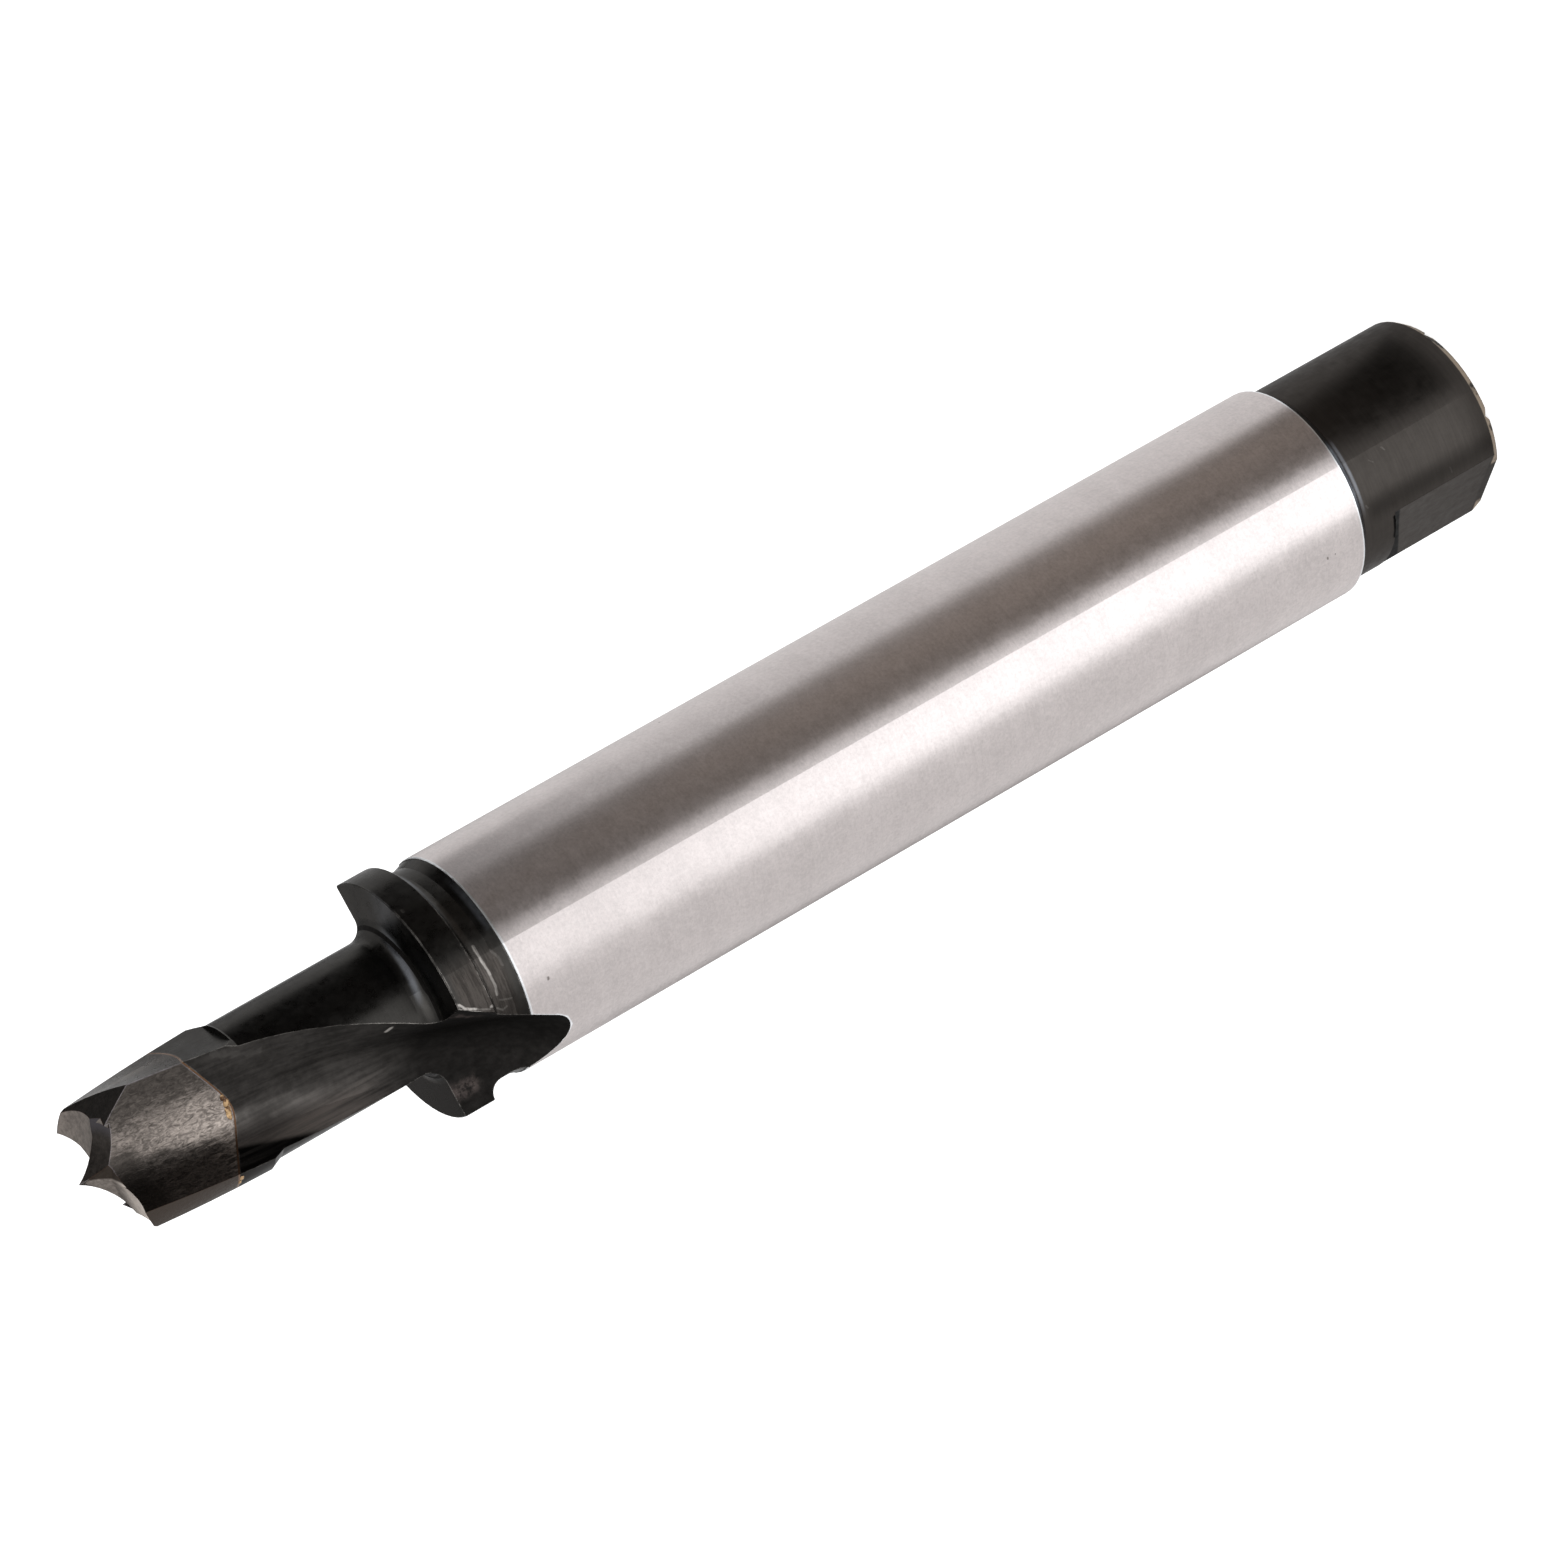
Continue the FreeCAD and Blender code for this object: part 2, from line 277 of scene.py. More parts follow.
class Surface:
    """One node material, with short names for the nodes it is made of"""

    def __init__(self, name):
        self.material = bpy.data.materials.new(name)
        self.material.use_nodes = True
        self.tree = self.material.node_tree
        self.tree.nodes.clear()
        self.output = self.node("ShaderNodeOutputMaterial")
        self.shader = self.node("ShaderNodeBsdfPrincipled")
        self.join(self.shader.outputs["BSDF"], self.output.inputs["Surface"])
        self.coordinates()

    def node(self, kind, **settings):
        made = self.tree.nodes.new(kind)
        for key, value in settings.items():
            setattr(made, key, value)
        return made

    def join(self, source, target):
        self.tree.links.new(source, target)

    def put(self, target, value):
        if isinstance(value, bpy.types.NodeSocket):
            self.join(value, target)
        else:
            target.default_value = value

    def math(self, operation, a, b=0.0, c=0.0, clamp=False):
        made = self.node("ShaderNodeMath", operation=operation, use_clamp=clamp)
        for socket, value in zip(made.inputs, (a, b, c)):
            self.put(socket, value)
        return made.outputs[0]

    def add(self, a, b):
        return self.math("ADD", a, b)

    def times(self, a, b):
        return self.math("MULTIPLY", a, b)

    def clip(self, a):
        return self.math("ADD", a, 0.0, clamp=True)

    def either(self, a, b):
        return self.math("MAXIMUM", a, b)

    def ramp(self, value, low, high, start=0.0, end=1.0):
        made = self.node("ShaderNodeMapRange", interpolation_type="SMOOTHSTEP", clamp=True)
        for socket, number in zip(made.inputs, (value, low, high, start, end)):
            self.put(socket, number)
        return made.outputs[0]

    def between(self, value, low, high, soft):
        rise = self.ramp(value, low - soft, low + soft)
        fall = self.ramp(value, high - soft, high + soft, 1.0, 0.0)
        return self.times(rise, fall)

    def vector(self, x, y, z):
        made = self.node("ShaderNodeCombineXYZ")
        for socket, value in zip(made.inputs, (x, y, z)):
            self.put(socket, value)
        return made.outputs[0]

    def noise(self, place, scale, detail=3.0, roughness=0.55, distortion=0.0):
        made = self.node("ShaderNodeTexNoise", noise_dimensions="3D")
        self.put(made.inputs["Vector"], place)
        self.put(made.inputs["Scale"], scale)
        made.inputs["Detail"].default_value = detail
        made.inputs["Roughness"].default_value = roughness
        made.inputs["Distortion"].default_value = distortion
        return made.outputs["Fac"]

    def specks(self, place, scale, size, share):
        """Small marks of uneven size, kept in only a share of the cells that could hold one"""
        made = self.node("ShaderNodeTexVoronoi", feature="F1")
        self.put(made.inputs["Vector"], place)
        made.inputs["Scale"].default_value = scale
        chance = self.node("ShaderNodeSeparateXYZ")
        self.join(made.outputs["Color"], chance.inputs[0])
        kept = self.ramp(chance.outputs[0], 1.0 - share, 1.0 - share * 0.3)
        reach = self.times(kept, size)
        return self.times(self.math("LESS_THAN", made.outputs["Distance"], reach), kept)

    def measure(self, operation, a, b=None):
        """Vector arithmetic: the number for a length or a product, else the vector"""
        made = self.node("ShaderNodeVectorMath", operation=operation)
        self.put(made.inputs[0], a)
        if operation == "SCALE":
            self.put(made.inputs["Scale"], b)
        elif b is not None:
            self.put(made.inputs[1], b)
        return made.outputs["Value" if operation in ("LENGTH", "DOT_PRODUCT") else "Vector"]

    def unrolled(self, radius, waver):
        """Place on the round surface laid out flat, along the axis and round it, a little wavering"""
        flat = self.vector(self.z, self.times(self.angle, math.radians(radius)), 0.0)
        drift = self.node("ShaderNodeTexNoise", noise_dimensions="3D")
        self.put(drift.inputs["Vector"], self.place)
        drift.inputs["Scale"].default_value = 3.0
        centred = self.measure("SUBTRACT", drift.outputs["Color"], (0.5, 0.5, 0.5))
        return self.measure("ADD", flat, self.measure("SCALE", centred, waver))

    def mark(self, flat, radius, start, end, width):
        """One on a line between two places, each a height and an angle round the axis"""
        a = Vector((start[0], math.radians(start[1]) * radius, 0.0))
        run = Vector((end[0], math.radians(end[1]) * radius, 0.0)) - a
        away = self.measure("SUBTRACT", flat, tuple(a))
        scaled = tuple(run / max(run.length_squared, 0.0001))
        share = self.clip(self.measure("DOT_PRODUCT", away, scaled))
        foot = self.measure("SCALE", tuple(run), share)
        gap = self.measure("LENGTH", self.measure("SUBTRACT", away, foot))
        return self.ramp(gap, width * 0.3, width, 1.0, 0.0)

    def strokes(self, radius, waver, table):
        """Bent lines on the round surface: strength, width, then places as heights and angles"""
        flat = self.unrolled(radius, waver)
        most = 0.0
        for strength, width, *places in table:
            for start, end in zip(places, places[1:]):
                most = self.either(most, self.times(self.mark(flat, radius, start, end, width), strength))
        return most

    def painted_highlights(self, table):
        """Painted highlights: soft bands round the axis that fade in and out"""
        most = 0.0
        for strength, half, height, rise, start, full, end, fade in table:
            along = self.math("MULTIPLY_ADD", self.angle, -rise, self.add(self.z, -height))
            band = self.ramp(self.math("ABSOLUTE", along), half * 0.15, half, strength, 0.0)
            shown = self.times(self.ramp(self.angle, start, full), self.ramp(self.angle, end, fade))
            most = self.either(most, self.times(band, shown))
        return most

    def blend(self, share, a, b):
        made = self.node("ShaderNodeMix", data_type="RGBA", clamp_factor=True)
        self.put(made.inputs["Factor"], share)
        for socket, value in ((made.inputs[6], a), (made.inputs[7], b)):
            if isinstance(value, bpy.types.NodeSocket):
                self.join(value, socket)
            else:
                socket.default_value = (*value, 1.0)
        return made.outputs[2]

    def uneven(self, value, low, high, tone, dark, light):
        """One tone made darker and lighter by an uneven value"""
        return self.blend(self.ramp(value, low, high), shaded(tone, dark), shaded(tone, light))

    def coordinates(self):
        """Place in millimetres, with the distance from the axis and the angle round it"""
        place = self.node("ShaderNodeTexCoord").outputs["Object"]
        self.place = self.measure("SCALE", place, METRE)
        parts = self.node("ShaderNodeSeparateXYZ")
        self.join(self.place, parts.inputs[0])
        self.x, self.y, self.z = parts.outputs
        self.radius = self.math("SQRT", self.add(self.times(self.x, self.x), self.times(self.y, self.y)))
        self.angle = self.times(self.math("ARCTAN2", self.y, self.x), HALF_TURN / math.pi)

    def round_lines(self, around, along):
        """Texture place that stretches marks round the axis"""
        return self.vector(self.times(self.x, around), self.times(self.y, around), self.times(self.z, along))

    def screw_lines(self, across, along):
        """Texture place that stretches marks along the flute"""
        turn = self.times(self.z, -math.radians(FLUTE_TURN))
        c = self.math("COSINE", turn)
        s = self.math("SINE", turn)
        u = self.add(self.times(self.x, c), self.times(self.math("MULTIPLY", self.y, -1.0), s))
        v = self.add(self.times(self.x, s), self.times(self.y, c))
        return self.vector(self.times(u, across), self.times(v, across), self.times(self.z, along))

    def screw_angle(self):
        """Degrees round from the cutting edge's own screw line, the same in both flutes"""
        line = self.math("MULTIPLY_ADD", self.z, FLUTE_TURN, LIP_ANGLE - FLUTE_TURN * LIP - BEHIND_LIP)
        turned = self.math("FLOORED_MODULO", self.math("SUBTRACT", self.angle, line), HALF_TURN)
        return self.math("SUBTRACT", turned, BEHIND_LIP)

    def bump(self, height, strength, distance, under=None):
        """Normal of a relief, its distance in millimetres"""
        made = self.node("ShaderNodeBump")
        made.inputs["Strength"].default_value = strength
        made.inputs["Distance"].default_value = distance * MILLIMETRE
        self.put(made.inputs["Height"], height)
        if under is not None:
            self.join(under, made.inputs["Normal"])
        return made.outputs["Normal"]

    def edge(self, width, even=0.86):
        """One on a convex or concave edge, none on an even face"""
        bevel = self.node("ShaderNodeBevel", samples=4)
        bevel.inputs["Radius"].default_value = width
        face = self.node("ShaderNodeNewGeometry").outputs["Normal"]
        likeness = self.measure("DOT_PRODUCT", bevel.outputs["Normal"], face)
        return self.ramp(likeness, even, 0.995, 1.0, 0.0)

    def finish(self, base, roughness, normal):
        """Bare metal with this colour, roughness and normal"""
        self.join(base, self.shader.inputs["Base Color"])
        self.join(roughness, self.shader.inputs["Roughness"])
        self.shader.inputs["Metallic"].default_value = 1.0
        self.join(normal, self.shader.inputs["Normal"])
        return self.material


def shaded(tone, share):
    """The tone darker or lighter by a share"""
    return tuple(min(1.0, c * share) for c in tone)


def ground_shank(look):
    """Ground steel: fine lines round the axis, uneven grey, painted highlights on the rims, edges and
    flutes' ends, nicks and pits
    """
    s = Surface("ground shank")
    fine = s.noise(s.round_lines(0.35, 9.0), 1.0, 4.0, 0.65)
    grain = s.noise(s.round_lines(3.0, 9.0), 1.0, 4.0, 0.7)
    mottle = s.noise(s.place, 1.6, 5.0, 0.7)
    broad = s.noise(s.round_lines(0.25, 0.5), 1.0, 2.0)
    speckle = s.noise(s.place, 5.5, 3.0, 0.8)
    grained = s.add(s.times(grain, 0.2), s.add(s.times(mottle, 0.3), s.times(speckle, 0.3)))
    shade = s.add(s.add(s.times(fine, 0.1), s.times(broad, 0.1)), grained)
    light = s.uneven(shade, 0.34, 0.66, look.ground_steel, 0.8, 1.18)

    # Painted highlights: white lines on edges and rims and round the flutes' ends; then pits and nicks
    edge_highlight = s.times(s.edge(look.edge_wear_and_highlight * 1.3, 0.93), s.ramp(mottle, 0.35, 0.55, 0.5, 1.0))
    front = s.ramp(s.z, SHANK_FRONT - 0.14, SHANK_FRONT - 0.07, 0.0, 0.6)
    rear = s.ramp(s.z, SHANK_REAR + 0.12, SHANK_REAR + 0.04, 0.0, 0.55)
    edged = s.blend(s.either(edge_highlight, s.either(front, rear)), light, RIM_HIGHLIGHT_WHITE)
    edged = s.blend(s.strokes(SHANK_RADIUS, 0.04, (FLUTE_END_HIGHLIGHT_LINE,)), edged, FLUTE_END_HIGHLIGHT_WHITE)
    pits = s.specks(s.place, 1.1, 0.07, 0.05)
    nicks = s.strokes(SHANK_RADIUS, 0.1, SHANK_NICKS)
    base = s.blend(s.times(s.either(pits, nicks), 0.8), edged, NICK_BROWN)

    # Ground steel stretches its gloss across the lines
    worked = s.add(s.times(grain, 0.5), s.times(mottle, 0.5))
    roughness = s.ramp(worked, 0.3, 0.7, look.shank_roughness - 0.06, look.shank_roughness + 0.07)
    s.shader.inputs["Anisotropic"].default_value = 0.9
    s.shader.inputs["Anisotropic Rotation"].default_value = 0.25
    tangent = s.node("ShaderNodeTangent", direction_type="RADIAL", axis="Z")
    s.join(tangent.outputs[0], s.shader.inputs["Tangent"])
    return s.finish(base, roughness, s.bump(grain, 0.3, 0.004, s.bump(fine, 0.35, 0.005)))


def oxide_skin(s, look, warm, fine, mottle, tail):
    """Uneven black of the front, warmer on the tail and browner where collar and groove are scuffed"""
    cloud = s.noise(s.place, 0.45, 3.0, 0.55)
    shade = s.add(s.times(mottle, 0.45), s.add(s.times(fine, 0.2), s.times(cloud, 0.35)))
    front = s.uneven(shade, 0.32, 0.68, look.black_oxide, 0.8, 1.22)
    lined = s.add(s.times(fine, 0.6), s.times(shade, 0.4))
    rear = s.uneven(lined, 0.3, 0.7, warm, 0.9, 1.08)
    scuffs = s.noise(s.round_lines(0.7, 6.0), 1.0, 5.0, 0.75)
    brown = s.uneven(scuffs, 0.38, 0.62, warm, 0.8, 1.5)
    scuffed = s.between(s.z, SHANK_FRONT + 0.41, COLLAR_FRONT - 0.25, 0.25)
    scuffed = s.times(scuffed, s.ramp(s.angle, 9.0, -6.0))
    return s.blend(scuffed, s.blend(tail, front, rear), brown)


def tail_rim(s):
    """Brown bare rim of the tail's end"""
    rim = s.times(s.between(s.z, 0.03, 0.4, 0.05), s.ramp(s.noise(s.place, 1.2, 3.0), 0.34, 0.46))
    return s.times(rim, s.ramp(s.radius, TAIL_RADIUS - 0.4, TAIL_RADIUS - 0.3))


def bared_and_lit_oxide(s, look, skin, fine, mottle, tail):
    """The black with its worn lines and painted highlight lines, painted highlight bands, brown tail rim,
    and edges partly worn and partly painted highlight
    """
    # Worn bare streaks, and painted highlight lines along the groove's fillet
    streaks = s.times(s.strokes(COLLAR_RADIUS, 0.1, WORN_AND_LIT_LINES), s.ramp(fine, 0.3, 0.6, 0.5, 1.0))
    base = s.blend(streaks, skin, look.bare_and_lit_edge)
    # Painted highlights: pale bluish bands on fillets, chamfers and the tail's root
    painted_highlights = s.times(s.painted_highlights(HIGHLIGHT_BANDS), s.ramp(mottle, 0.3, 0.6, 0.7, 1.0))
    base = s.blend(painted_highlights, base, HIGHLIGHT_BLUE)
    base = s.blend(s.times(tail_rim(s), 0.8), base, TAIL_RIM_BROWN)
    # Edges partly worn bare and partly a painted highlight, stronger on the side towards the window lamp
    lit_side = s.ramp(s.angle, 70.0, -12.0, 0.12, 0.75)
    edge = s.times(s.times(s.edge(look.edge_wear_and_highlight), s.ramp(mottle, 0.38, 0.6)), lit_side)
    return s.blend(s.times(edge, s.math("SUBTRACT", 1.0, tail)), base, look.bare_and_lit_edge)


def shadowed_oxide(s, base, warm):
    """Painted shade on the underside of the front and in the band beside the tail's flat, and the flat
    itself
    """
    # Underside: painted shade
    under = s.ramp(s.z, SHANK_FRONT - 1.49, SHANK_FRONT - 0.49)
    under = s.times(s.ramp(s.angle, -12.0, -42.0, 0.0, 0.72), under)
    base = s.blend(under, base, PAINTED_UNDERSIDE_SHADE)
    # Band: painted shade beside the tail's flat
    band = s.ramp(s.z, TAIL_FRONT - 0.1, TAIL_FRONT - 0.8, 0.0, 0.55)
    band = s.times(s.between(s.angle, -36.0, -25.0, 5.0), band)
    band = s.times(band, s.ramp(s.radius, TAIL_RADIUS - 0.04, TAIL_RADIUS - 0.01))
    base = s.blend(band, base, shaded(warm, 0.3))
    # Flat
    on_flat = s.times(s.ramp(s.z, FLAT_FRONT + 0.15, FLAT_FRONT + 0.05), s.ramp(s.z, 0.5, 0.6))
    flat = s.times(s.ramp(s.radius, TAIL_RADIUS - 0.01, TAIL_RADIUS - 0.04), on_flat)
    return s.blend(s.times(flat, 0.6), base, shaded(warm, 1.5))


def flat_step_shadow(s):
    """Painted shadow of the step in front of the tail's flat: a black line on the round and down the flat"""
    slant = 0.0235
    down = s.math("MULTIPLY_ADD", s.angle, -slant, s.add(s.z, -(FLAT_FRONT + 0.51)))
    below = s.times(s.ramp(s.radius, TAIL_RADIUS - 0.003, TAIL_RADIUS - 0.02), s.ramp(down, 0.0, 0.12))
    reach = s.times(s.ramp(s.z, FLAT_FRONT + 0.15, FLAT_FRONT + 0.05), s.ramp(s.z, 5.0, 5.2))
    return s.either(s.strokes(TAIL_RADIUS, 0.1, (FLAT_STEP_SHADOW_LINE,)), s.times(below, reach))


def black_oxide(look):
    """Blackened steel of the tail, groove, collar and neck"""
    s = Surface("black oxide")
    fine = s.noise(s.round_lines(0.5, 7.0), 1.0, 4.0, 0.6)
    mottle = s.noise(s.place, 1.7, 5.0, 0.6)
    tail = s.ramp(s.z, TAIL_FRONT + 1.2, TAIL_FRONT + 0.8)
    warm = tuple(c * w for c, w in zip(look.black_oxide, (1.0, 0.93, 0.9)))
    base = oxide_skin(s, look, warm, fine, mottle, tail)
    base = bared_and_lit_oxide(s, look, base, fine, mottle, tail)
    base = shadowed_oxide(s, base, warm)
    # Painted shadow of the step in front of the tail's flat
    base = s.blend(flat_step_shadow(s), base, STEP_SHADOW_BLACK)

    scratches = s.noise(s.round_lines(0.9, 0.5), 3.0, 6.0, 0.7)
    worked = s.add(s.times(scratches, 0.5), s.times(mottle, 0.5))
    front = s.ramp(worked, 0.3, 0.7, look.oxide_roughness - 0.06, look.oxide_roughness + 0.1)
    roughness = s.add(front, s.times(tail, 0.11))
    s.shader.inputs["Specular Tint"].default_value = STEEL_TINT
    return s.finish(base, roughness, s.bump(scratches, 0.2, 0.008, s.bump(fine, 0.25, 0.006)))


def flute_light(s, look, ground, turn, lines, drift, shade):
    """Painted light on the floor towards the tip and on the wall, and the shadow under the tip's rear end"""
    # Painted light: the brighter floor starts on a line that leans along the flute
    lean = 5.0
    leaning = s.math("MULTIPLY_ADD", s.z, -lean, s.add(turn, lean * (FLUTE_JOINT - 1.5)))
    low = s.times(s.ramp(leaning, 34.0, 14.0), s.ramp(s.z, COLLAR_FRONT + 2.75, COLLAR_FRONT + 6.75))
    low = s.clip(s.times(low, s.ramp(drift, 0.35, 0.6, 0.75, 1.0)))
    ground = s.blend(low, ground, s.uneven(shade, 0.36, 0.66, look.flute, 1.35, 2.3))

    # Painted light on the wall under the cutting edge, streaked along the marks
    wall = s.times(s.ramp(turn, 12.0, 3.0), s.ramp(s.z, COLLAR_FRONT + 1.75, COLLAR_FRONT + 7.75))
    wall = s.times(wall, s.ramp(s.radius, HEAD_RADIUS - 2.0, HEAD_RADIUS - 1.1, 0.1, 1.0))
    ground = s.blend(s.times(wall, s.ramp(lines, 0.36, 0.62, 0.35, 1.0)), ground, LIT_WALL_BROWN)

    # Shadow outside a radius that shrinks towards the tip
    shrink = 0.28
    start = s.math("MULTIPLY_ADD", s.z, -shrink, HEAD_RADIUS - 1.5 + shrink * FLUTE_JOINT)
    outside = s.ramp(s.math("SUBTRACT", s.radius, start), -0.05, 0.3)
    shadow = s.times(outside, s.ramp(turn, 20.0, 8.0))
    shadow = s.times(shadow, s.ramp(s.z, COLLAR_FRONT + 4.75, COLLAR_FRONT + 6.75))
    return s.blend(shadow, ground, s.uneven(lines, 0.4, 0.7, look.flute, 0.1, 0.6))


def flute_floor(look):
    """Ground flutes: marks along the screw, painted shade by the collar and brown on the collar's lobe"""
    s = Surface("flute floor")
    drift = s.noise(s.place, 0.5, 2.0)
    lines = s.noise(s.screw_lines(4.0, 0.2), 1.0, 4.0, 0.6)
    mottle = s.noise(s.place, 2.4, 5.0, 0.65)
    shade = s.add(s.times(lines, 0.4), s.add(s.times(mottle, 0.3), s.times(drift, 0.3)))
    turn = s.screw_angle()
    dull = s.uneven(shade, 0.36, 0.66, look.flute, 0.48, 1.05)
    ground = flute_light(s, look, dull, turn, lines, drift, shade)
    # Painted shade in the flute by the collar
    shade_by_collar = s.ramp(s.z, COLLAR_FRONT + 3.75, COLLAR_FRONT + 0.25, 0.0, 0.75)
    ground = s.blend(shade_by_collar, ground, shaded(look.flute, 0.1))
    lobe = s.between(s.radius, COLLAR_RADIUS - 1.6, COLLAR_RADIUS - 0.9, 0.3)
    lobe = s.times(s.between(s.z, COLLAR_FRONT - 1.35, COLLAR_FRONT + 0.15, 0.4), lobe)
    ground = s.blend(s.times(lobe, s.ramp(mottle, 0.35, 0.65)), ground, LOBE_BROWN)

    chip = s.strokes(HEAD_RADIUS, 0.1, (FLUTE_CHIP,))
    scrape = s.strokes(HEAD_RADIUS, 0.2, (FLUTE_SCRAPE,))
    # Edges partly worn bare and partly a painted highlight
    edge = s.times(s.edge(look.edge_wear_and_highlight), s.ramp(mottle, 0.4, 0.6, 0.0, 0.3))
    base = s.blend(s.either(s.either(chip, scrape), edge), ground, look.bare_and_lit_edge)
    s.shader.inputs["Specular Tint"].default_value = STEEL_TINT
    return s.finish(base, s.ramp(shade, 0.3, 0.7, 0.6, 0.48), s.bump(shade, 0.35, 0.02))


def cutting_face(s, look, share, lines, mottle):
    """Colour, relief and edge tone of the pitted face under each lip, with painted shade by the heel, a
    painted highlight and a painted shadow by the centre point
    """
    pits = s.noise(s.screw_lines(4.6, 2.3), 1.0, 3.0, 0.65, 1.4)
    rough = s.add(s.times(pits, 0.7), s.times(lines, 0.3))
    turn = s.add(s.screw_angle(), s.ramp(lines, 0.3, 0.7, -5.0, 5.0))
    lean = 8.0
    lifted = s.math("MULTIPLY_ADD", s.z, -lean, s.add(turn, lean * (FLUTE_JOINT + 1.0)))

    # Grey, with painted shade by the heel, and darker towards the body
    base = s.uneven(rough, 0.34, 0.66, look.carbide, share * 0.45, share * 1.6)
    dark = s.uneven(rough, 0.34, 0.66, look.carbide, share * 0.25, share * 0.85)
    base = s.blend(s.either(s.ramp(turn, 78.0, 100.0), s.ramp(lifted, 6.0, -4.0)), base, dark)
    base = s.blend(s.ramp(turn, 82.0, 98.0, 0.0, 0.5), base, shaded(look.carbide, share * 0.2))

    # Painted highlight: a bright area, weaker by the edge and in front
    highlight_area = s.times(s.ramp(turn, 92.0, 70.0), s.ramp(lifted, -2.0, 12.0))
    fading = s.ramp(s.z, FLUTE_JOINT + 4.3, FLUTE_JOINT + 0.9, 0.2, 1.0)
    fading = s.times(s.ramp(turn, 0.0, 30.0, 0.8, 1.0), fading)
    bright = s.uneven(rough, 0.36, 0.64, look.carbide, share, share * 3.0)
    base = s.blend(s.times(highlight_area, fading), base, bright)

    # Shadow by the centre point, then fine creases along the flute
    by_point = s.ramp(s.z, FLUTE_JOINT + 4.2, FLUTE_JOINT + 5.3)
    by_point = s.times(by_point, s.ramp(turn, 76.0, 52.0, 0.0, 0.8))
    base = s.blend(by_point, base, shaded(look.carbide, 0.2))
    wander = s.math("SUBTRACT", s.noise(s.screw_lines(1.5, 0.45), 1.0, 2.0, 0.5, 0.8), 0.5)
    crease = s.ramp(s.math("ABSOLUTE", wander), 0.004, 0.022, 1.0, 0.0)
    crease = s.times(s.times(crease, s.ramp(mottle, 0.4, 0.55)), s.times(s.ramp(turn, 5.0, 20.0), 0.55))
    base = s.blend(crease, base, shaded(look.carbide, 0.3))
    edge_tone = s.blend(s.ramp(turn, 14.0, 30.0), CARBIDE_EDGE_BROWN, CARBIDE_EDGE_GREY)
    return base, rough, edge_tone


def land_tones(s, look, share, base):
    """Land darker towards the body, behind the lip and by the heel, brown below"""
    dark = shaded(look.carbide, share * 0.3)
    by_body = s.ramp(s.z, FLUTE_JOINT + 3.5, FLUTE_JOINT + 0.5, 0.0, 0.8)
    base = s.blend(by_body, base, dark)
    by_lip = s.ramp(s.z, FLUTE_JOINT + 2.9, FLUTE_JOINT + 4.3, 0.0, 0.6)
    base = s.blend(s.times(by_lip, s.ramp(s.angle, 0.0, 20.0)), base, dark)
    by_heel = s.ramp(s.screw_angle(), 136.0, 116.0, 0.0, 0.75)
    base = s.blend(by_heel, base, shaded(look.carbide, share * 0.25))
    return s.blend(s.ramp(s.angle, 20.0, -20.0, 0.0, 0.72), base, LAND_BROWN)


def lip_tones(s, base):
    """Lip relief with a painted highlight, cream, on the outer part of one wing and a brown line along the
    cutting edge
    """
    c = math.cos(math.radians(LIP_ANGLE))
    d = math.sin(math.radians(LIP_ANGLE))
    out = s.add(s.times(s.x, c), s.times(s.y, d))
    beside = s.times(s.add(s.times(s.x, -d), s.times(s.y, c)), s.math("SIGN", out))
    # Painted highlight on the outer part of one lip relief
    base = s.blend(s.ramp(out, 1.0, 2.0, 0.0, 0.95), base, LIP_HIGHLIGHT_CREAM)
    return s.blend(s.ramp(beside, 0.06, 0.18, 0.0, 0.9), base, LIP_BROWN)


def ground_carbide(look, name, share, roughness, lines_share):
    """Ground face of the tip: share brightens or darkens it, partly as painted light and shade, lines_share
    is how far its marks run with the flute
    """
    s = Surface(name)
    drift = s.noise(s.place, 1.1, 3.0)
    lines = s.noise(s.screw_lines(5.0, 0.9), 1.0, 5.0, 0.7, 0.6)
    mottle = s.noise(s.place, 4.0, 6.0, 0.7)
    spots = s.add(s.times(mottle, 0.75 - lines_share), s.times(drift, 0.25))
    shade = s.add(s.times(lines, lines_share), spots)
    if name == CUTTING_FACE:
        edge_width = look.edge_wear_and_highlight * 1.2
        base, relief, edge_tone = cutting_face(s, look, share, lines, mottle)
    else:
        edge_width = look.edge_wear_and_highlight * 0.8
        base = s.uneven(shade, 0.34, 0.66, look.carbide, share * 0.6, share * 1.35)
        relief = shade
        edge_tone = CARBIDE_EDGE_BROWN
    if name == LAND:
        base = land_tones(s, look, share, base)
    if name == LIP_RELIEF:
        base = lip_tones(s, base)
    if name == THINNING:
        base = s.blend(s.ramp(s.radius, 1.7, 2.3, 0.0, 0.7), base, THINNING_GREY)
    edge = s.times(s.edge(edge_width), s.ramp(mottle, 0.35, 0.6, 0.4, 0.95))
    base = s.blend(edge, base, edge_tone)
    rim = s.ramp(s.radius, HEAD_RADIUS - 0.06, HEAD_RADIUS - 0.01, 0.0, 0.4)
    base = s.blend(rim, base, shaded(look.carbide, share * 0.35))
    s.shader.inputs["Specular Tint"].default_value = CARBIDE_TINT
    level = s.ramp(shade, 0.3, 0.7, roughness - 0.06, roughness + 0.08)
    return s.finish(base, level, s.bump(relief, 0.9, 0.04))


